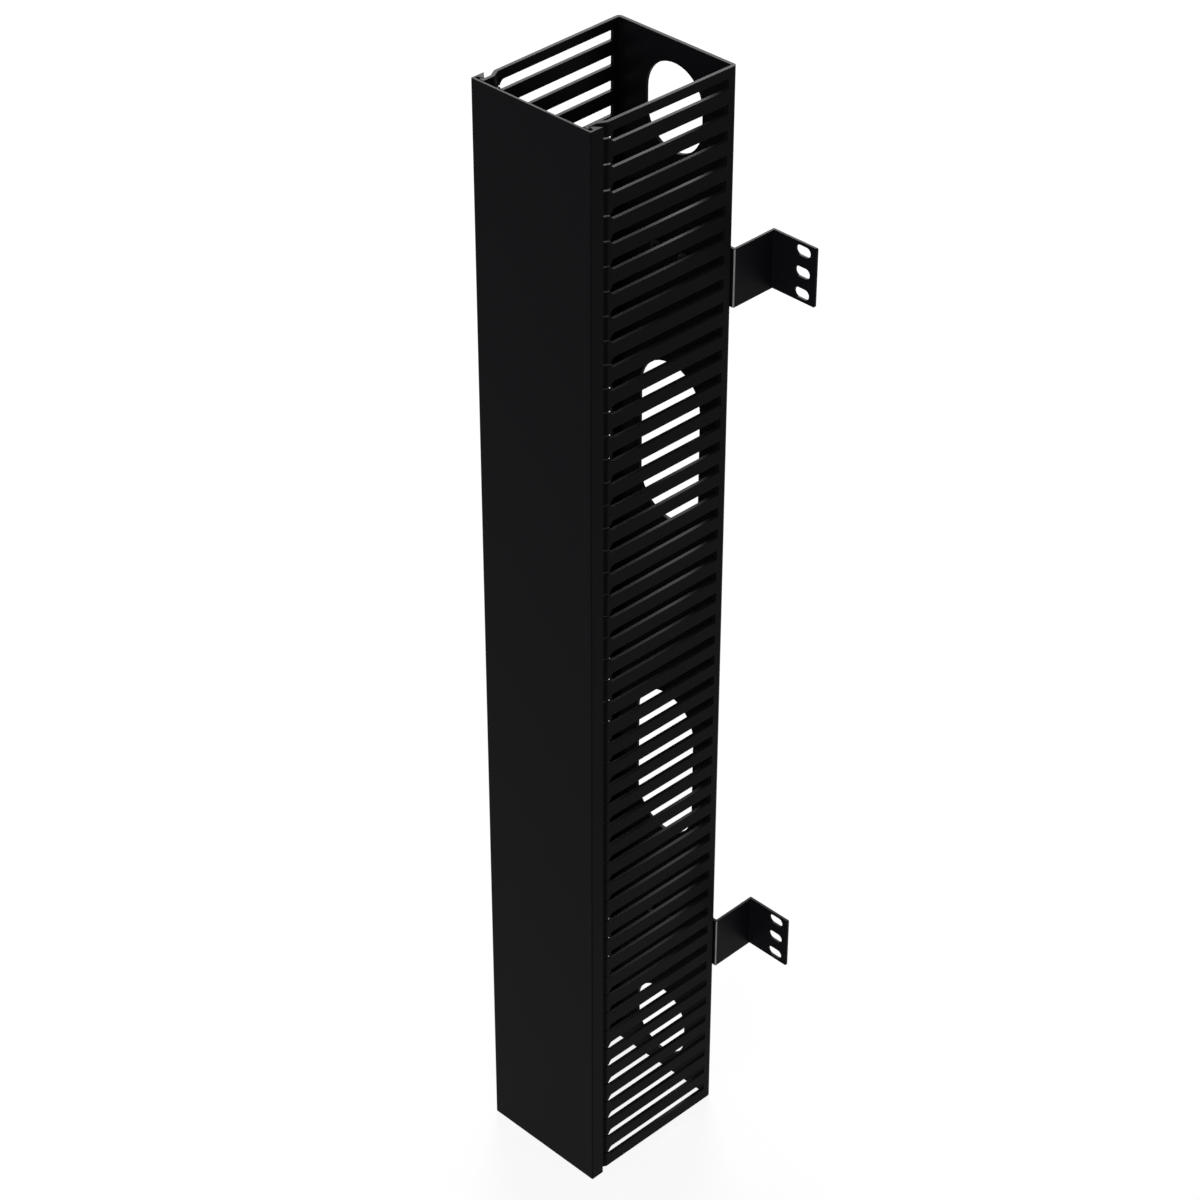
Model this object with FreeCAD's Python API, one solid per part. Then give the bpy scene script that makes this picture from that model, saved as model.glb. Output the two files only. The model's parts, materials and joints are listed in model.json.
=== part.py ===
"""Vertical cable manager: a slotted finger duct with a clip-on front cover, carried on a rack
post by two folded steel brackets.

The duct is drawn first in its own layout: X = 0 on its middle plane, Y = 0 on the outside of its
back with the cover towards -Y, and Z = 0 at its lower end. Every piece is then moved so that the
origin is the middle slot of the lower bracket, on the face that seats on the rack post.
All sizes are millimetres.
"""
import FreeCAD, Part
import math
import os

from FreeCAD import Vector

# The rack's grid
rack_unit = 44.45
rack_hole_spacing = 15.875

# The duct
length = 889.0
width = 105.4
depth = 131.6
wall = 3.0
back_corner_radius = 3.2
back_inner_radius = 0.8
wall_lean_deg = 1.0

# The fingers, and the slots between them that end under the fingers' wide heads
finger_pitch = 18.0
slot_height = 7.7
slot_to_back = 8.0
slot_to_front = 20.4
head_chamfer = 2.2
lowest_slot = 14.0
shortest_end = 10.0
slit_height = 1.3

# The finger tips, which step in under the cover and end in a bead that holds it
joggle_start = 17.8
joggle_run = 6.6
joggle_depth = 3.75
tip_clearance = 0.4
tip_bead = 1.8
bead_length = 2.3
bead_slope = 0.5
tip_lead_in = 1.0

# The openings in the duct's back
end_window_width = 51.0
end_window_height = 64.0
end_window_inset = 48.0
middle_window_width = 57.2
middle_window_height = 127.6
middle_window_spacing = 280.6

# The cover
cover_wall = 2.0
cover_proud = 0.5
cover_corner_radius = 0.9
hook_clearance = 0.4
hook_land = 1.2
hook_length = 5.0
catch_slope = 0.25

# The brackets
bracket_thickness = 2.0
bracket_height = 44.2
bracket_bend_radius = 1.6
bracket_corner_radius = 1.0
lower_bracket_centre = 157.0
web_offset = 1.6
stand_off = 38.0
post_flange_width = 37.6
back_flange_margin = 11.0
rack_slot_count = 3
rack_slot_length = 13.6
rack_slot_width = 8.0
rack_slot_to_edge = 11.7

# The fasteners
screw_spacing = 25.4
screw_diameter = 5.0
screw_length = 12.0
screw_hole_clearance = 0.5
thread_clearance = 0.06
head_diameter = 10.0
head_height = 3.0
head_rim_height = 1.5
head_crown_diameter = 7.6
recess_span = 5.4
recess_width = 1.1
recess_depth = 1.9
nut_across_flats = 8.0
nut_height = 4.7

# How far a cutter runs past the sheet that it cuts, on each side
overrun = 1.0

# Worked out from the sizes above
half_width = width / 2
lean = math.tan(math.radians(wall_lean_deg))
joggle_y = joggle_start - depth
wall_at_joggle = half_width + lean * joggle_y
tip_x = wall_at_joggle - joggle_depth
tip_y = cover_wall + tip_clearance - depth
bead_back = tip_y + bead_length
cover_half_width = half_width + cover_proud
slot_count = int((length - lowest_slot - shortest_end) / finger_pitch) + 1
units_between_brackets = round((length - 2 * lower_bracket_centre) / rack_unit)
upper_bracket_centre = lower_bracket_centre + units_between_brackets * rack_unit
web_face = half_width + web_offset
post_face = stand_off + bracket_thickness
post_flange_edge = web_face + post_flange_width
rack_slot_x = post_flange_edge - rack_slot_to_edge
screw_hole_radius = (screw_diameter + screw_hole_clearance) / 2

origin = Vector(rack_slot_x, post_face, lower_bracket_centre)


def plan(u, v):
    """A point of an outline seen from above."""
    return Vector(u, v, 0)


def from_side(u, v):
    """A point of an outline seen from the right: u along Y, v along Z."""
    return Vector(0, u, v)


def rounded_face(corners, place):
    """A flat face whose corners (u, v, radius) are joined by lines and rounded by arcs."""
    edges = []
    starts, ends = [], []
    count = len(corners)
    for i, (u, v, radius) in enumerate(corners):
        corner = Vector(u, v, 0)
        before = Vector(*corners[i - 1][:2], 0) - corner
        after = Vector(*corners[(i + 1) % count][:2], 0) - corner
        before.normalize()
        after.normalize()
        half_angle = before.getAngle(after) / 2
        if radius == 0:
            starts.append(corner)
            ends.append(corner)
            continue
        reach = radius / math.tan(half_angle)
        middle = before + after
        middle.normalize()
        start = corner + before * reach
        end = corner + after * reach
        crown = corner + middle * (radius / math.sin(half_angle) - radius)
        edges.append((i, Part.Arc(place(start.x, start.y), place(crown.x, crown.y),
                                  place(end.x, end.y)).toShape()))
        starts.append(start)
        ends.append(end)
    for i in range(count):
        a, b = ends[i], starts[(i + 1) % count]
        edges.append((i + 0.5, Part.LineSegment(place(a.x, a.y), place(b.x, b.y)).toShape()))
    edges.sort(key=lambda item: item[0])
    return Part.Face(Part.Wire([edge for _, edge in edges]))


def mirrored(half):
    """A closed outline from the corners of its right half."""
    return half + [(-u, v, radius) for u, v, radius in reversed(half)]


def obround(across, along, sheet):
    """A cutter for an obround hole, long along Z and centred on the origin, through a sheet that
    lies on Y = 0 and is as thick towards +Y as given."""
    radius = across / 2
    straight = along / 2 - radius
    top = Part.Arc(Vector(-radius, 0, straight), Vector(0, 0, straight + radius),
                   Vector(radius, 0, straight)).toShape()
    right = Part.LineSegment(Vector(radius, 0, straight), Vector(radius, 0, -straight)).toShape()
    bottom = Part.Arc(Vector(radius, 0, -straight), Vector(0, 0, -straight - radius),
                      Vector(-radius, 0, -straight)).toShape()
    left = Part.LineSegment(Vector(-radius, 0, -straight), Vector(-radius, 0, straight)).toShape()
    face = Part.Face(Part.Wire([top, right, bottom, left]))
    face.translate(Vector(0, -overrun, 0))
    return face.extrude(Vector(0, sheet + 2 * overrun, 0))


def round_hole(radius, sheet, x, z):
    """A cutter for a round hole at X and Z, through a sheet that lies on Y = 0 like the others."""
    return Part.makeCylinder(radius, sheet + 2 * overrun, Vector(x, -overrun, z), Vector(0, 1, 0))


def duct_outline():
    """The duct's section: a back, two walls that lean in, and stepped tips with a bead."""
    joggle_end = joggle_y - joggle_run
    bend = wall * math.tan(math.atan2(joggle_depth, joggle_run) / 2)
    outside = [
        (half_width, 0, back_corner_radius),
        (wall_at_joggle, joggle_y, 0),
        (tip_x, joggle_end, 0),
        (tip_x, bead_back, 0),
        (tip_x + tip_bead, bead_back - bead_slope * tip_bead, 0),
        (tip_x + tip_bead - tip_lead_in, tip_y, 0),
    ]
    inside = [
        (tip_x - wall, tip_y, 0),
        (tip_x - wall, joggle_end + bend, 0),
        (wall_at_joggle - wall, joggle_y + bend, 0),
        (half_width - wall - lean * wall, -wall, back_inner_radius),
    ]
    return mirrored(outside + inside)


def slot_outline():
    """One slot between two fingers, with v = 0 at its middle. It ends at the fingers' heads, which
    leave only a slit between them from there to the tips."""
    rear = -slot_to_back
    head = slot_to_front - depth
    tips = -depth - overrun
    half_slot = slot_height / 2
    half_slit = slit_height / 2
    upper = [
        (tips, half_slit, 0),
        (head, half_slit, 0),
        (head, half_slot - head_chamfer, 0),
        (head + head_chamfer, half_slot, 0),
        (rear, half_slot, 0),
    ]
    lower = [(u, -v, radius) for u, v, radius in reversed(upper)]
    return upper + lower


def finger_duct():
    """The whole extrusion, with the slots cut through both walls at once and the back pierced."""
    duct = rounded_face(duct_outline(), plan).extrude(Vector(0, 0, length))
    slot = rounded_face(slot_outline(), from_side).extrude(Vector(width + 2 * overrun, 0, 0))
    cuts = []
    for i in range(slot_count):
        cut = slot.copy()
        cut.translate(Vector(-half_width - overrun, 0, lowest_slot + i * finger_pitch))
        cuts.append(cut)
    end_window = obround(end_window_width, end_window_height, wall)
    middle_window = obround(middle_window_width, middle_window_height, wall)
    windows = [
        (end_window, end_window_inset),
        (end_window, length - end_window_inset),
        (middle_window, (length - middle_window_spacing) / 2),
        (middle_window, (length + middle_window_spacing) / 2),
    ]
    for window, height in windows:
        cut = window.copy()
        cut.translate(Vector(0, -wall, height))
        cuts.append(cut)
    for x, z in screw_places():
        hole = round_hole(screw_hole_radius, wall, x, z)
        hole.translate(Vector(0, -wall, 0))
        cuts.append(hole)
    return duct.cut(cuts)


def front_cover():
    """A plain front with two side lips. Each lip slants in to a hook behind the tips' beads."""
    inner = cover_half_width - cover_wall
    hook = tip_x + hook_clearance
    hook_front = bead_back + hook_clearance
    hook_rear = hook_front + hook_land
    half = [
        (cover_half_width, -depth, cover_corner_radius),
        (cover_half_width, hook_rear + hook_length, 0),
        (hook, hook_rear, 0),
        (hook, hook_front, 0),
        (inner, hook_front - catch_slope * (inner - hook), 0),
        (inner, cover_wall - depth, 0),
    ]
    return rounded_face(mirrored(half), plan).extrude(Vector(0, 0, length))


def bracket(centre):
    """A Z-shaped bracket, one rack unit high: a flange on the duct's back, a web that stands it
    off and a flange with three slots for the rack post."""
    t = bracket_thickness
    back_edge = -screw_spacing / 2 - back_flange_margin
    inside = bracket_bend_radius
    outside = bracket_bend_radius + t
    outline = [
        (back_edge, 0, 0),
        (web_face, 0, outside),
        (web_face, stand_off, inside),
        (post_flange_edge, stand_off, 0),
        (post_flange_edge, post_face, 0),
        (web_face - t, post_face, outside),
        (web_face - t, t, inside),
        (back_edge, t, 0),
    ]
    sheet = rounded_face(outline, plan).extrude(Vector(0, 0, bracket_height))
    corners = [edge for edge in sheet.Edges if is_flange_corner(edge, (back_edge, post_flange_edge))]
    sheet = sheet.makeFillet(bracket_corner_radius, corners)
    sheet.translate(Vector(0, 0, centre - bracket_height / 2))
    rack_slot = obround(rack_slot_width, rack_slot_length, t)
    rack_slot.rotate(Vector(0, 0, 0), Vector(0, 1, 0), 90)
    cuts = []
    for i in range(rack_slot_count):
        cut = rack_slot.copy()
        height = centre + (i - (rack_slot_count - 1) / 2) * rack_hole_spacing
        cut.translate(Vector(rack_slot_x, stand_off, height))
        cuts.append(cut)
    for x in (-screw_spacing / 2, screw_spacing / 2):
        cuts.append(round_hole(screw_hole_radius, t, x, centre))
    return sheet.cut(cuts)


def is_flange_corner(edge, ends):
    """True for the short edges through the sheet at the upper and lower corners of a flange."""
    a, b = edge.Vertexes[0].Point, edge.Vertexes[-1].Point
    along_thickness = abs(a.x - b.x) < 1e-6 and abs(a.z - b.z) < 1e-6
    return along_thickness and any(abs(a.x - x) < 1e-6 for x in ends)


def screw_places():
    """Where the screws go through the duct's back."""
    places = []
    for centre in (lower_bracket_centre, upper_bracket_centre):
        for side in (-1, 1):
            places.append((side * screw_spacing / 2, centre))
    return places


def screw():
    """A pan head screw along +Y, its head seated on Y = 0 and standing towards -Y."""
    rim = head_diameter / 2
    crown = head_crown_diameter / 2
    shank = screw_diameter / 2 - thread_clearance
    profile = rounded_face([
        (0, -head_height, 0),
        (crown, -head_height, 0),
        (rim, -head_rim_height, 0),
        (rim, 0, 0),
        (shank, 0, 0),
        (shank, screw_length, 0),
        (0, screw_length, 0),
    ], plan)
    body = profile.revolve(Vector(0, 0, 0), Vector(0, 1, 0), 360)
    arms = []
    for across, tall in ((recess_span, recess_width), (recess_width, recess_span)):
        arms.append(Part.makeBox(across, recess_depth + overrun, tall,
                                 Vector(-across / 2, -head_height - overrun, -tall / 2)))
    return body.cut(arms)


def nut():
    """A hexagon nut, seated on Y = 0 and standing towards +Y."""
    corner = nut_across_flats / math.sqrt(3)
    points = [Vector(corner * math.cos(math.radians(60 * i)), 0,
                     corner * math.sin(math.radians(60 * i))) for i in range(7)]
    hexagon = Part.Face(Part.makePolygon(points)).extrude(Vector(0, nut_height, 0))
    bore = round_hole(screw_diameter / 2, nut_height, 0, 0)
    return hexagon.cut(bore)


def save(node, shape):
    """Write one node, moved to the origin at the lower bracket's middle slot."""
    placed = shape.copy()
    placed.translate(-origin)
    placed.exportStep("parts/" + node + ".step")
    print(node, "solids", len(placed.Solids), "valid", placed.isValid(),
          "volume", round(placed.Volume, 1))


os.makedirs("parts", exist_ok=True)
save("finger_duct", finger_duct())
save("front_cover", front_cover())
save("lower_bracket", bracket(lower_bracket_centre))
save("upper_bracket", bracket(upper_bracket_centre))
for level, centre in (("lower", lower_bracket_centre), ("upper", upper_bracket_centre)):
    for side, x in (("left", -screw_spacing / 2), ("right", screw_spacing / 2)):
        seated = screw()
        seated.translate(Vector(x, -wall, centre))
        save(level + "_" + side + "_screw", seated)
        tightened = nut()
        tightened.translate(Vector(x, bracket_thickness, centre))
        save(level + "_" + side + "_nut", tightened)
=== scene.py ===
# %% [markdown]
# # A vertical cable manager, finished in Blender
# The solids come packed from the CAD step and stand in one frame, in metres, with Z up and the
# cover towards -Y. They already have the right size and place. This lesson softens the edges of
# the plastic duct and its cover, folds the two steel brackets anew with their tight bends, rounds
# the screws and nuts, gives every piece its finish, and sets the light and the camera.

# %% Load the solids
import json
import math

import bmesh
import bpy
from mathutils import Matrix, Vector

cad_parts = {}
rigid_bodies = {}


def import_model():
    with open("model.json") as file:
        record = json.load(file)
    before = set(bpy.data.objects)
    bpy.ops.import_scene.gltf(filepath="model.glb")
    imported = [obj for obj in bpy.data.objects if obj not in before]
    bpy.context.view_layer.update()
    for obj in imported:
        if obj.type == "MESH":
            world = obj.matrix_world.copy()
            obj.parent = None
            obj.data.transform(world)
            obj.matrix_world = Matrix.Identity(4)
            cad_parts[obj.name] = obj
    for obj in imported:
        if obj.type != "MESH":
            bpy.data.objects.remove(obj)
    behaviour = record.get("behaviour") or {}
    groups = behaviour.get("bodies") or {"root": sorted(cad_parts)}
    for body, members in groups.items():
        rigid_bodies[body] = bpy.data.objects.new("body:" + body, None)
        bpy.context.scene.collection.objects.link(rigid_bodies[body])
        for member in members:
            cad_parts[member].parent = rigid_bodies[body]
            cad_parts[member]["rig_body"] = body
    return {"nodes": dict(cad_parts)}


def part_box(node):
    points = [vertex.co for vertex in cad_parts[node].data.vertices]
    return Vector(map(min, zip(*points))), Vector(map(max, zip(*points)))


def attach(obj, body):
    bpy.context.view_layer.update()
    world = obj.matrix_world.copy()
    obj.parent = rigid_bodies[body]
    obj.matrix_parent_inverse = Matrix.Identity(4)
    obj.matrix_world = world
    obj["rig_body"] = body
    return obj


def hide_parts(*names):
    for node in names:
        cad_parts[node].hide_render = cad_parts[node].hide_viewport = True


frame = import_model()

scene = bpy.context.scene
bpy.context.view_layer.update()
print("solids:", sorted(frame["nodes"]))

# %% [markdown]
# ## Places read from the solids
# Nothing here is measured twice. The height of the floor and the places of the duct, the brackets
# and the screws are read from the boxes of the solids, so the finish follows the model if a size
# changes. A length is written as millimetres times mm, because the frame is in metres.

# %% Read the places
mm = 0.001
duct_low, duct_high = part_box("finger_duct")
duct_middle = (duct_low + duct_high) / 2
print("duct length, mm:", round((duct_high.z - duct_low.z) / mm, 2))

# %% [markdown]
# ## Working on one piece at a time
# An operator acts on whatever is selected, and the loader leaves all the solids selected. So each
# step starts by deselecting everything and making one piece active.

# %% Select one piece
def work_on(piece):
    """Leave only this piece selected and active."""
    bpy.ops.object.select_all(action="DESELECT")
    piece.select_set(True)
    bpy.context.view_layer.objects.active = piece


def finish_modifier(piece, kind, **settings):
    """Add one modifier to a piece, set it and apply it."""
    work_on(piece)
    modifier = piece.modifiers.new(kind.title(), kind)
    for name, value in settings.items():
        setattr(modifier, name, value)
    bpy.ops.object.modifier_apply(modifier=modifier.name)


work_on(frame["nodes"]["finger_duct"])

# %% [markdown]
# ## A clean copy of a solid
# The duct is an extruded plastic profile with punched slots. Neither the die nor the punch leaves a
# mathematically sharp edge: there is always a small radius, and that radius is what catches the
# light as a fine bright line. Each wall and finger could be modelled again with its radii, but the
# solid is right already, so a copy of it is taken and softened instead. The copy starts as loose
# triangles. Merging their corners and dissolving the lines inside flat faces gives a mesh whose
# edges are the real edges of the piece. The flat angle is half a degree: a sliver's normal is not
# exact, and the walls, which lean by one degree, must still stay apart from the back's corners.

# %% Copy a solid and merge its triangles
merge_distance = 0.002 * mm
flat_angle = math.radians(0.5)


def merged_copy(node):
    """A copy of a CAD node in which every edge is a real edge. It replaces the node."""
    source = frame["nodes"][node]
    piece = bpy.data.objects.new("soft_" + node, source.data.copy())
    scene.collection.objects.link(piece)
    work_on(piece)
    bpy.ops.mesh.customdata_custom_splitnormals_clear()
    bpy.ops.object.mode_set(mode="EDIT")
    bpy.ops.mesh.select_all(action="SELECT")
    bpy.ops.mesh.remove_doubles(threshold=merge_distance)
    bpy.ops.mesh.dissolve_limited(angle_limit=flat_angle)
    bpy.ops.object.mode_set(mode="OBJECT")
    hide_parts(node)
    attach(piece, source["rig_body"])
    return piece


duct = merged_copy("finger_duct")
cover = merged_copy("front_cover")
print("real edges on the duct and the cover:", len(duct.data.edges), len(cover.data.edges))

# %% [markdown]
# ## Choosing edges
# Every rounding below is the same step: in edit mode, pick the edges that belong to it by their
# place, direction or angle, and bevel them. Three helpers do that for all the pieces. The cover is
# one long profile, so as a test its edges along Z are counted.

# %% Pick edges and bevel them
straight_share = 0.999


def select_where(piece, wanted):
    """Select the edges that a test picks, and nothing else. The piece is in edit mode."""
    bpy.ops.mesh.select_mode(type="EDGE")
    bpy.ops.mesh.select_all(action="DESELECT")
    mesh = bmesh.from_edit_mesh(piece.data)
    picked = [edge for edge in mesh.edges if wanted(edge)]
    for edge in picked:
        edge.select_set(True)
    bmesh.update_edit_mesh(piece.data)
    return len(picked)


def bevel_where(piece, wanted, radius, segments):
    """Bevel the edges of a piece that a test picks, and return their number."""
    work_on(piece)
    bpy.ops.object.mode_set(mode="EDIT")
    count = select_where(piece, wanted)
    bpy.ops.mesh.bevel(offset=radius, segments=segments, affect="EDGES")
    bpy.ops.object.mode_set(mode="OBJECT")
    return count


def runs_along(edge, axis):
    """Whether an edge runs along X (0), Y (1) or Z (2)."""
    run = edge.verts[1].co - edge.verts[0].co
    return abs(run[axis]) > straight_share * run.length


work_on(cover)
bpy.ops.object.mode_set(mode="EDIT")
print("edges along Z on the cover:", select_where(cover, lambda edge: runs_along(edge, 2)))
bpy.ops.object.mode_set(mode="OBJECT")

# %% [markdown]
# ## The slots' rounded ends
# A punch for a slot has rounded corners, so that it lasts and the fingers don't tear there. In the
# solid the slots end in flat chamfers at the fingers' heads and in square corners at the back. The
# edges that need rounding all run straight through a wall, along X, and turn inwards, so they can
# be picked by their direction and their angle. One pass takes the shallow corners beside the
# chamfers, and a second one the square corners at the back.

# %% Round the slots
longest_corner = 10 * mm
turn_tolerance = math.radians(2)
head_corner = 0.65 * mm
back_corner = 0.7 * mm
slot_segments = 3


def round_slots(piece, turn, radius):
    """Round the slots' corners, which run along X and turn inwards by this angle."""
    def wanted(edge):
        if not runs_along(edge, 0) or edge.calc_length() > longest_corner:
            return False
        return abs(edge.calc_face_angle_signed() + turn) < turn_tolerance

    corners = bevel_where(piece, wanted, radius, slot_segments)
    print("corners rounded by", round(radius / mm, 2), "mm:", corners)


round_slots(duct, math.radians(45), head_corner)
round_slots(duct, math.radians(90), back_corner)

# %% [markdown]
# ## Soft edges
# Now every edge that turns by more than a set angle is rounded. Smooth shading alone would bend
# the light on the flat faces towards the roundings, and a finger would look like a pillow. The
# Weighted Normal modifier lets the larger face decide at each corner, so the flats stay flat right
# up to the radius. The rims of the screw holes are left sharp and marked so: they are under the
# heads and the brackets, and a bevel slides along the seam that joins a hole to the edge of its
# face, which can turn the face over.

# %% Soften the edges
edge_angle = math.radians(40)
bend_angle = math.radians(20)
hole_surround = 4 * mm
duct_edge = 0.3 * mm
cover_edge = 0.25 * mm
edge_segments = 2
largest_face_only = 100
levels = ("lower", "upper")
sides = ("left", "right")
screw_axes = {}
for level in levels:
    for side in sides:
        low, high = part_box("_".join((level, side, "screw")))
        screw_axes[level, side] = (low + high) / 2


def is_sharp(edge):
    """Whether an edge turns enough. The profile's own bends, which run along Z, may turn less."""
    return edge.calc_face_angle() > (bend_angle if runs_along(edge, 2) else edge_angle)


def round_a_screw(edge):
    """Whether an edge belongs to one of the screws' holes."""
    place = edge.verts[0].co
    return any(abs(place.x - axis.x) < hole_surround and abs(place.z - axis.z) < hole_surround
               for axis in screw_axes.values())


def soften(piece, radius, keep_sharp=lambda edge: False):
    """Round the sharp edges of a piece, apart from those to keep, which are marked sharp."""
    work_on(piece)
    bpy.ops.object.shade_smooth()
    bpy.ops.object.mode_set(mode="EDIT")
    kept = select_where(piece, lambda edge: is_sharp(edge) and keep_sharp(edge))
    bpy.ops.mesh.mark_sharp()
    bpy.ops.object.mode_set(mode="OBJECT")
    rounded = bevel_where(piece, lambda edge: is_sharp(edge) and edge.smooth, radius, edge_segments)
    finish_modifier(piece, "WEIGHTED_NORMAL", weight=largest_face_only, keep_sharp=True)
    print(piece.name, "rounded, kept, faces:", rounded, kept, len(piece.data.polygons))


soften(duct, duct_edge, round_a_screw)
soften(cover, cover_edge)

# %% [markdown]
# ## The folded brackets
# Each bracket is one strip of sheet steel, folded twice over a sharp tool, so its bends are much
# tighter than those of the solid, and they are what the eye reads as sheet metal. So the strip is
# folded again here the way a shop would do it, as a flat plane whose end edge is extruded once
# away from the duct and once along the rack post. Solidify then gives the strip its thickness on
# both sides of that middle surface, and its even offset keeps the corners of the bends sharp.

# %% Fold the strip
sheet = 2.0 * mm
web_proud_of_duct = 1.6 * mm
web_middle = duct_high.x + web_proud_of_duct - sheet / 2


def folded_strip(node):
    """A strip folded twice, in the box of a CAD bracket. It replaces the bracket."""
    low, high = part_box(node)
    back_flange = low.y + sheet / 2
    post_flange = high.y - sheet / 2
    bpy.ops.object.select_all(action="DESELECT")
    bpy.ops.mesh.primitive_plane_add(size=1)
    piece = bpy.context.active_object
    piece.name = "folded_" + node
    bpy.ops.object.mode_set(mode="EDIT")
    bpy.ops.mesh.select_all(action="SELECT")
    bpy.ops.transform.rotate(value=math.pi / 2, orient_axis="X", center_override=(0, 0, 0))
    bpy.ops.transform.resize(value=(web_middle - low.x, 1, high.z - low.z), center_override=(0, 0, 0))
    bpy.ops.transform.translate(value=((web_middle + low.x) / 2, back_flange, (low.z + high.z) / 2))
    select_where(piece, lambda edge: min(vert.co.x for vert in edge.verts) > web_middle - merge_distance)
    bpy.ops.mesh.extrude_edges_move(
        TRANSFORM_OT_translate={"value": (0, post_flange - back_flange, 0)})
    bpy.ops.mesh.extrude_edges_move(TRANSFORM_OT_translate={"value": (high.x - web_middle, 0, 0)})
    bpy.ops.object.mode_set(mode="OBJECT")
    finish_modifier(piece, "SOLIDIFY", thickness=sheet, offset=0, use_even_offset=True)
    bpy.ops.object.mode_set(mode="EDIT")
    bpy.ops.mesh.select_all(action="SELECT")
    bpy.ops.mesh.normals_make_consistent(inside=False)
    bpy.ops.object.mode_set(mode="OBJECT")
    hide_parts(node)
    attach(piece, frame["nodes"][node]["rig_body"])
    return piece


brackets = {level: folded_strip(level + "_bracket") for level in levels}
print("folded faces:", [len(bracket.data.polygons) for bracket in brackets.values()])

# %% [markdown]
# ## Punching the brackets
# The three oblong slots let the screws of a rack post find their holes, and two round holes take
# the screws that hold the duct. A cutter for a slot is a round bar whose two halves are moved
# apart. All the cutters of a bracket are joined, so that one Boolean modifier punches everything.

# %% Punch the holes
rack_pitch = 15.875 * mm
rack_slot_width = 7.6 * mm
rack_slot_length = 13.0 * mm
screw_hole = 2.75 * mm
cutter_length = 4 * sheet
cutter_sides = 48


def bar(radius, x, y, z):
    """A round cutter along Y."""
    bpy.ops.object.select_all(action="DESELECT")
    bpy.ops.mesh.primitive_cylinder_add(vertices=cutter_sides, radius=radius, depth=cutter_length,
                                        location=(x, y, z), rotation=(math.pi / 2, 0, 0))
    return bpy.context.active_object


def slot_bar(x, y, z):
    """A cutter for one oblong slot: a round bar pulled apart along X."""
    cutter = bar(rack_slot_width / 2, x, y, z)
    bpy.ops.object.transform_apply(location=True, rotation=True, scale=True)
    bpy.ops.object.mode_set(mode="EDIT")
    half_pull = (rack_slot_length - rack_slot_width) / 2
    for side in (-1, 1):
        bpy.ops.mesh.select_mode(type="VERT")
        bpy.ops.mesh.select_all(action="DESELECT")
        mesh = bmesh.from_edit_mesh(cutter.data)
        for vert in mesh.verts:
            vert.select_set(side * (vert.co.x - x) > merge_distance)
        mesh.select_flush_mode()
        bmesh.update_edit_mesh(cutter.data)
        bpy.ops.transform.translate(value=(side * half_pull, 0, 0))
    bpy.ops.object.mode_set(mode="OBJECT")
    return cutter


def punch(piece, cutters):
    """Join the cutters and take them out of the piece."""
    bpy.ops.object.select_all(action="DESELECT")
    for cutter in cutters:
        cutter.select_set(True)
    bpy.context.view_layer.objects.active = cutters[0]
    bpy.ops.object.join()
    joined = bpy.context.active_object
    finish_modifier(piece, "BOOLEAN", object=joined, operation="DIFFERENCE", solver="EXACT")
    work_on(joined)
    bpy.ops.object.delete()


for level, bracket in brackets.items():
    low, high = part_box(level + "_bracket")
    middle = (low.z + high.z) / 2
    cutters = [slot_bar(0, high.y - sheet / 2, middle + step * rack_pitch) for step in (-1, 0, 1)]
    cutters += [bar(screw_hole, screw_axes[level, side].x, low.y + sheet / 2, middle)
                for side in sides]
    punch(bracket, cutters)
    print(level, "bracket faces:", len(bracket.data.polygons))

# %% [markdown]
# ## Corners and bends
# The flanges' corners are nibbled round by a millimetre. At the bends the outside is stretched to
# a radius a little under half the sheet's thickness, and the inside is tighter still. Each kind of
# edge is picked by its direction and place and bevelled in edit mode. Then everything that is
# still sharp is rounded by the thickness of the coat.

# %% Round the corners and the bends
outer_bend = 0.8 * mm
inner_bend = 0.4 * mm
bend_segments = 5
flange_corner = 1.0 * mm
flange_corner_segments = 4
coat_edge = 0.2 * mm
least_fold = math.radians(60)
web_reach = 0.6 * sheet
hole_reach = 1.5 * sheet


def at_end(edge, ends):
    """Whether an edge runs through the sheet at an end of the strip, as its corners do."""
    return runs_along(edge, 1) and min(abs(edge.verts[0].co.x - end) for end in ends) < merge_distance


def at_fold(edge, turn):
    """Whether an edge is a fold: outwards where turn is 1, inwards where it is -1."""
    near_web = abs(edge.verts[0].co.x - web_middle) < web_reach
    return runs_along(edge, 2) and near_web and turn * edge.calc_face_angle_signed() > least_fold


def at_screw_hole(edge):
    """Whether an edge belongs to a screw's hole in the flange on the duct's back."""
    return round_a_screw(edge) and edge.verts[0].co.y < duct_high.y + hole_reach


for level, bracket in brackets.items():
    low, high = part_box(level + "_bracket")
    ends = (low.x, high.x)
    corners = bevel_where(bracket, lambda edge: at_end(edge, ends), flange_corner,
                          flange_corner_segments)
    outer = bevel_where(bracket, lambda edge: at_fold(edge, 1), outer_bend, bend_segments)
    inner = bevel_where(bracket, lambda edge: at_fold(edge, -1), inner_bend, bend_segments)
    print(level, "corners, outer bends, inner bends:", corners, outer, inner)
    soften(bracket, coat_edge, at_screw_hole)

# %% [markdown]
# ## Sums on sockets
# A procedural material is mostly sums on textures. Written with one node at a time they are hard
# to read, so a small class wraps a node's output and lets Python's own operators add the Math
# nodes. Every other node comes from one method, which takes the node's type, its settings and
# what goes into its sockets.

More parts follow.
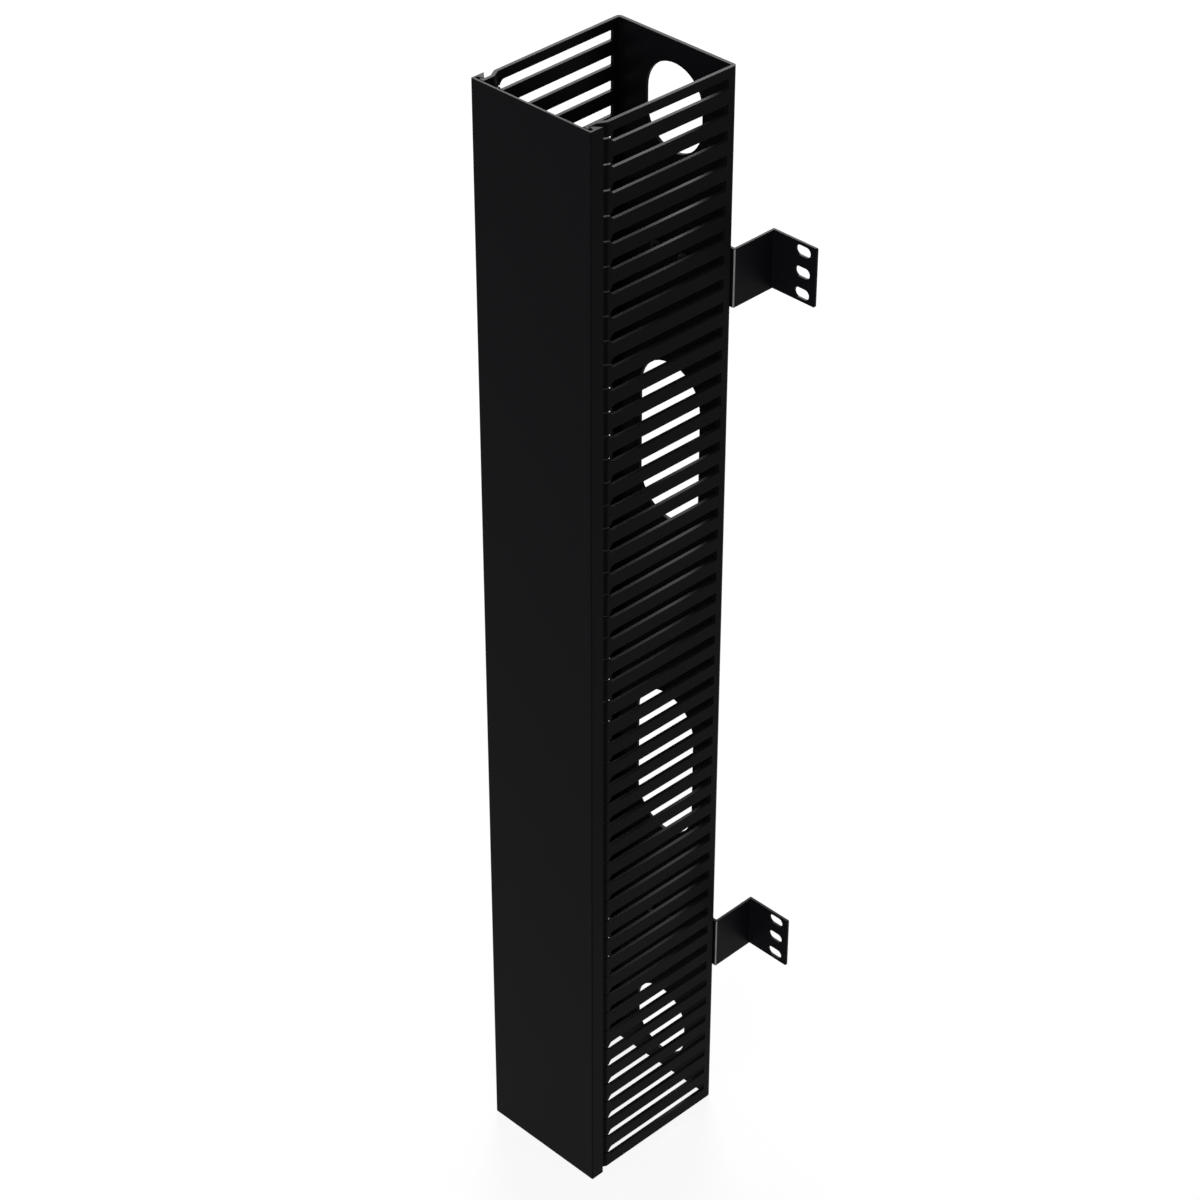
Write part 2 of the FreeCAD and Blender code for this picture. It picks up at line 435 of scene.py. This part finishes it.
# %% Wrap a socket
class Grain:
    """One output of a material's nodes, which can be used in sums."""

    def __init__(self, tree, socket):
        self.tree = tree
        self.socket = socket

    @classmethod
    def node(cls, tree, kind, settings, inputs, output=0):
        """Make a node, set it first, then fill or link its sockets. Returns one of its outputs."""
        made = tree.nodes.new("ShaderNode" + kind)
        for name, value in settings.items():
            setattr(made, name, value)
        for name, value in inputs.items():
            if isinstance(value, cls):
                tree.links.new(value.socket, made.inputs[name])
            else:
                made.inputs[name].default_value = value
        return cls(tree, made.outputs[output])

    def sum_with(self, operation, first, second):
        """A Math node on two values, either of which may be a plain number."""
        return Grain.node(self.tree, "Math", {"operation": operation}, {0: first, 1: second})

    def __add__(self, other):
        return self.sum_with("ADD", self, other)

    __radd__ = __add__

    def __sub__(self, other):
        return self.sum_with("SUBTRACT", self, other)

    def __rsub__(self, other):
        return self.sum_with("SUBTRACT", other, self)

    def __mul__(self, other):
        return self.sum_with("MULTIPLY", self, other)

    __rmul__ = __mul__

    def limited(self, low, high):
        """The part between low and high, stretched to run smoothly from 0 to 1."""
        return Grain.node(self.tree, "MapRange", {"interpolation_type": "SMOOTHSTEP"},
                          {"Value": self, "From Min": low, "From Max": high})

    def to(self, target, name):
        """Link this output to a named socket of a shader or an output node."""
        self.tree.links.new(self.socket, target.inputs[name])


print("operators ready:", [name for name in ("__add__", "__rsub__", "__mul__")
                           if hasattr(Grain, name)])

# %% [markdown]
# ## What every finish here shares
# All the pieces are nearly black, so their look is in how they scatter the little light that they
# return. Each finish starts as a Principled shader with its constant values set on the shader's
# own sockets. Patterns read Object coordinates, which are metres here, so a noise's scale is
# simply the number of its grains in a metre.

# %% Start a finish
even = (1, 1, 1)


def new_finish(name, specular):
    """A material, its node tree and its shader."""
    material = bpy.data.materials.new(name)
    material.use_nodes = True
    tree = material.node_tree
    shader = tree.nodes["Principled BSDF"]
    shader.inputs["Specular IOR Level"].default_value = specular
    return material, tree, shader


def speckle(tree, grain_size, stretch=even, detail=2.0):
    """Noise whose grains are about grain_size across, drawn out along an axis by its stretch."""
    place = Grain.node(tree, "TexCoord", {}, {}, "Object")
    scale = [1 / s for s in stretch]
    drawn = Grain.node(tree, "Mapping", {}, {"Vector": place, "Scale": scale})
    return Grain.node(tree, "TexNoise", {},
                      {"Vector": drawn, "Scale": 1 / grain_size, "Detail": detail}, "Fac")


def facing_up(tree):
    """1 where the surface faces straight up or down, as a sawn end or a slot's edge does."""
    normal = Grain.node(tree, "NewGeometry", {}, {}, "Normal")
    upright = Grain.node(tree, "SeparateXYZ", {}, {"Vector": normal}, "Z")
    return Grain.node(tree, "Math", {"operation": "ABSOLUTE"}, {0: upright})


def times(colour, factor):
    """A colour made darker or paler."""
    return tuple(factor * part for part in colour)


def blended(tree, share, first, second):
    """The first colour where share is 0 and the second where it is 1. Either may be a Grain.

    A Mix node has its factor at 0 and, for colours, its ends at 6 and 7 and its result at 2.
    """
    first, second = [end if isinstance(end, Grain) else (*end, 1) for end in (first, second)]
    return Grain.node(tree, "Mix", {"data_type": "RGBA"}, {0: share, 6: first, 7: second}, 2)


def raised(tree, shader, height, depth):
    """Let a height pattern of 0 to 1 stand up by depth."""
    Grain.node(tree, "Bump", {}, {"Height": height, "Distance": depth}).to(shader, "Normal")


def coat_with(piece, material):
    """Make a material the first and only one of a piece."""
    piece.data.materials.clear()
    piece.data.materials.append(material)


print("grains to a metre at 1 mm:", round(1 / mm))

# %% [markdown]
# ## Extruded black plastic
# The duct and its cover are rigid plastic pushed through a die. The die's small marks are drawn
# out into very fine lines along the length, the skin is satin rather than glossy, and its gloss
# varies a little in patches where the profile was cooled and handled. The sawn ends and the
# punched edges of the slots show the raw plastic, which is rougher and a touch paler. One noise,
# stretched along Z, makes the lines. A wide one makes the patches, and a fine one with a limit
# makes the dust. A mask from the surface's direction finds the cut edges.

# %% Make the plastic
die_line = 0.5 * mm
drawn_out = (1, 1, 400)
cooled_patch = 60 * mm
patch_stretch = (1, 1, 3)
dust_grain = 1.1 * mm
saw_grain = 0.35 * mm
plastic_specular = 0.02
cut_edge = (0.0065, 0.0065, 0.0072)


def extruded_plastic(name, skin, cut, line_depth):
    """Satin black plastic with die lines along Z and paler cut edges."""
    material, tree, shader = new_finish(name, plastic_specular)
    lines = speckle(tree, die_line, drawn_out)
    patches = speckle(tree, cooled_patch, patch_stretch, detail=3.0)
    dust = speckle(tree, dust_grain, detail=4.0).limited(0.52, 0.72)
    is_cut = facing_up(tree).limited(0.6, 0.95)
    tone = 0.55 * patches + 0.25 * lines + 0.2 * dust
    handled_skin = blended(tree, tone, skin, times(skin, 1.5))
    raw_cut = blended(tree, tone, cut, times(cut, 2))
    blended(tree, is_cut, handled_skin, raw_cut).to(shader, "Base Color")
    (0.32 + 0.12 * patches + 0.05 * lines + 0.04 * is_cut).to(shader, "Roughness")
    sawn = speckle(tree, saw_grain)
    raised(tree, shader, (1 - is_cut) * lines + is_cut * sawn, line_depth)
    return material


duct_plastic = extruded_plastic("duct_plastic", (0.0036, 0.0036, 0.0045), cut_edge, 0.012 * mm)
cover_plastic = extruded_plastic("cover_plastic", (0.0034, 0.0034, 0.0042), cut_edge, 0.010 * mm)
coat_with(duct, duct_plastic)
coat_with(cover, cover_plastic)
print("plastic nodes:", len(duct_plastic.node_tree.nodes))

# %% [markdown]
# ## Powder coated steel
# The brackets are folded from sheet and powder coated. The powder melts into a skin with a very
# shallow orange peel about a millimetre and a half across, and a finer grain on top. A wide noise
# and a fine one, added together, stand it up by a few hundredths of a millimetre.

# %% Make the powder coat
peel_size = 1.6 * mm
peel_depth = 0.05 * mm
powder_grain = 0.35 * mm
coat_patch = 25 * mm
coat_specular = 0.03


def powder_coat(name, skin):
    """Satin black powder coat with a shallow orange peel."""
    material, tree, shader = new_finish(name, coat_specular)
    peel = speckle(tree, peel_size, detail=1.0)
    fine = speckle(tree, powder_grain)
    patches = speckle(tree, coat_patch)
    blended(tree, 0.6 * fine + 0.4 * patches, skin, times(skin, 1.6)).to(shader, "Base Color")
    (0.36 + 0.10 * patches + 0.06 * fine).to(shader, "Roughness")
    raised(tree, shader, 0.8 * peel + 0.2 * fine, peel_depth)
    return material


bracket_coat = powder_coat("bracket_coat", (0.0042, 0.0042, 0.0053))
for bracket in brackets.values():
    coat_with(bracket, bracket_coat)
print("coat nodes:", len(bracket_coat.node_tree.nodes))

# %% [markdown]
# ## Painted highlights on the bends
# A bend catches the light as one pale line down its outside, and the real brackets show that line
# down each outer bend. Here that line is painted: the faces of the outer bends are picked by their
# normals, which point between the two flats, and get a second material, a pale streaked grey.

# %% Paint highlights on the bends
highlight_streak_stretch = (1, 1, 8)
highlight_streak_width = 0.8 * mm
highlight_specular = 0.1
least_slant = 0.15
most_tilt = 0.1


def painted_bend_highlight(name, highlight_grey):
    """A pale grey painted highlight, streaked unevenly along its length."""
    material, tree, shader = new_finish(name, highlight_specular)
    highlight_streaks = speckle(tree, highlight_streak_width, highlight_streak_stretch, detail=3.0)
    # The pale colour is a painted highlight, and its streaks vary at random along the bend.
    blended(tree, highlight_streaks, times(highlight_grey, 0.6), times(highlight_grey, 1.4)).to(shader, "Base Color")
    (0.38 + 0.12 * highlight_streaks).to(shader, "Roughness")
    return material


# The pale grey down each outer bend is a painted highlight.
bend_highlight_paint = painted_bend_highlight("bend_highlight_paint", (0.27, 0.27, 0.275))
for level, bracket in brackets.items():
    bracket.data.materials.append(bend_highlight_paint)
    middle_y = sum(corner.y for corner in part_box(level + "_bracket")) / 2
    highlighted = 0
    for face in bracket.data.polygons:
        slants = min(abs(face.normal.x), abs(face.normal.y)) > least_slant
        upright = abs(face.normal.z) < most_tilt
        near_web = abs(face.center.x - web_middle) < web_reach
        outside = (face.center.y - middle_y) * face.normal.x < 0
        if slants and upright and near_web and outside:
            face.material_index = 1
            highlighted += 1
    print(level, "rubbed faces:", highlighted)

# %% [markdown]
# ## The screws and nuts
# Each bracket is held by two black oxide pan head screws, with a hexagon nut behind each. The
# solids give their heads and flats, and rounding them is all that they need here. The oxide is
# a thin dark bloom on bare steel, so it is a little metallic and its gloss is uneven.

# %% Dress the fasteners
bloom_grain = 0.6 * mm
oxide_specular = 0.15
oxide_metallic = 0.25
fastener_edges = {"screw": 0.35 * mm, "nut": 0.2 * mm}


def black_oxide(name):
    """Dark, slightly metallic steel with an uneven bloom."""
    material, tree, shader = new_finish(name, oxide_specular)
    shader.inputs["Metallic"].default_value = oxide_metallic
    bloom = speckle(tree, bloom_grain, detail=3.0)
    blended(tree, bloom, (0.006, 0.006, 0.007), (0.014, 0.013, 0.013)).to(shader, "Base Color")
    (0.30 + 0.22 * bloom).to(shader, "Roughness")
    return material


oxide = black_oxide("black_oxide")
for level, side in screw_axes:
    for kind, radius in fastener_edges.items():
        piece = merged_copy("_".join((level, side, kind)))
        soften(piece, radius)
        coat_with(piece, oxide)

# %% [markdown]
# ## A white floor
# The object was photographed against pure white. A floor lit to white would throw more light on
# the object, so the floor is white only to the rays that look at it, from the camera or by way of
# a gloss, and a plain grey to the light that it sends on. It keeps part of its real shading, so a
# faint shadow stays.

# %% Build the floor
floor_size = 30.0
floor_to_light = 0.3
floor_to_the_eye = 0.8
own_light_share = 0.9


def emptied(owner):
    """The node tree of a material or a world, with nothing in it yet."""
    owner.use_nodes = True
    owner.node_tree.nodes.clear()
    return owner.node_tree


def seen_directly(tree):
    """1 for rays that look at the background: from the camera, in a gloss or through a glass."""
    total = Grain.node(tree, "LightPath", {}, {}, "Is Camera Ray")
    for kind in ("Is Glossy Ray", "Is Transmission Ray"):
        total = total + Grain.node(tree, "LightPath", {}, {}, kind)
    return total.limited(0, 1)


bpy.ops.object.select_all(action="DESELECT")
bpy.ops.mesh.primitive_plane_add(size=floor_size, location=(duct_middle.x, duct_middle.y, duct_low.z))
floor = bpy.context.active_object
floor.name = "floor"
floor_paint = bpy.data.materials.new("floor_paint")
tree = emptied(floor_paint)
looked_at = seen_directly(tree)
grey = blended(tree, looked_at, [floor_to_light] * 3, [floor_to_the_eye] * 3)
matte = Grain.node(tree, "BsdfDiffuse", {}, {"Color": grey})
white = Grain.node(tree, "Emission", {}, {"Color": (1, 1, 1, 1), "Strength": 1.0})
seen = Grain.node(tree, "MixShader", {}, {0: own_light_share * looked_at, 1: matte, 2: white})
seen.to(tree.nodes.new("ShaderNodeOutputMaterial"), "Surface")
coat_with(floor, floor_paint)
print("floor at, mm:", round(duct_low.z / mm, 1))

# %% [markdown]
# ## A white studio
# The world works in the same way: white to the rays that look at it, and half as bright to the
# pieces, which it lights softly from all sides.

# %% Light the world
ambient = 0.5
world = bpy.data.worlds.new("studio")
scene.world = world
tree = emptied(world)
brightness = ambient + (1 - ambient) * seen_directly(tree)
sky = Grain.node(tree, "Background", {}, {"Color": (1, 1, 1, 1), "Strength": brightness})
sky.to(tree.nodes.new("ShaderNodeOutputWorld"), "Surface")
print("world nodes:", len(tree.nodes))

# %% [markdown]
# ## The lamps
# Two large soft lamps. The stronger stands high behind the object on the far side from the camera:
# it glances off the upward edges and draws them as fine light lines. The other is a weak fill
# from the front.

# %% Hang the lamps
def soft_lamp(name, direction, distance, size, watts):
    """A square area lamp that looks at the middle of the duct from a direction."""
    data = bpy.data.lights.new(name, "AREA")
    data.size = size
    data.energy = watts
    lamp = bpy.data.objects.new(name, data)
    aim = Vector(direction).normalized()
    lamp.location = duct_middle + distance * aim
    lamp.rotation_euler = aim.to_track_quat("Z", "Y").to_euler()
    scene.collection.objects.link(lamp)


soft_lamp("back_lamp", direction=(-1, 1, 1.05), distance=3.0, size=1.2, watts=115)
soft_lamp("fill_lamp", direction=(0.25, -1.0, 0.3), distance=3.5, size=2.5, watts=46)

# %% [markdown]
# ## The camera
# The photograph looks down a true isometric direction: 45 degrees round and a little over 35
# degrees down, from about 2.3 metres. The place, the angles and the lens were fitted to the
# object's corners in the photograph.

# %% Set the camera
camera_place = (1.23818, -1.42922, 1.64608)
looks_down = math.radians(35.258)
turned_round = math.radians(44.988)
camera_data = bpy.data.cameras.new("camera")
camera_data.lens = 98.12
camera_data.sensor_width = 36.0
camera = bpy.data.objects.new("camera", camera_data)
camera.location = camera_place
camera.rotation_euler = (math.pi / 2 - looks_down, 0, turned_round)
scene.collection.objects.link(camera)
scene.camera = camera
scene.view_settings.view_transform = "Standard"
print("camera distance, m:", round((camera.location - duct_middle).length, 3))
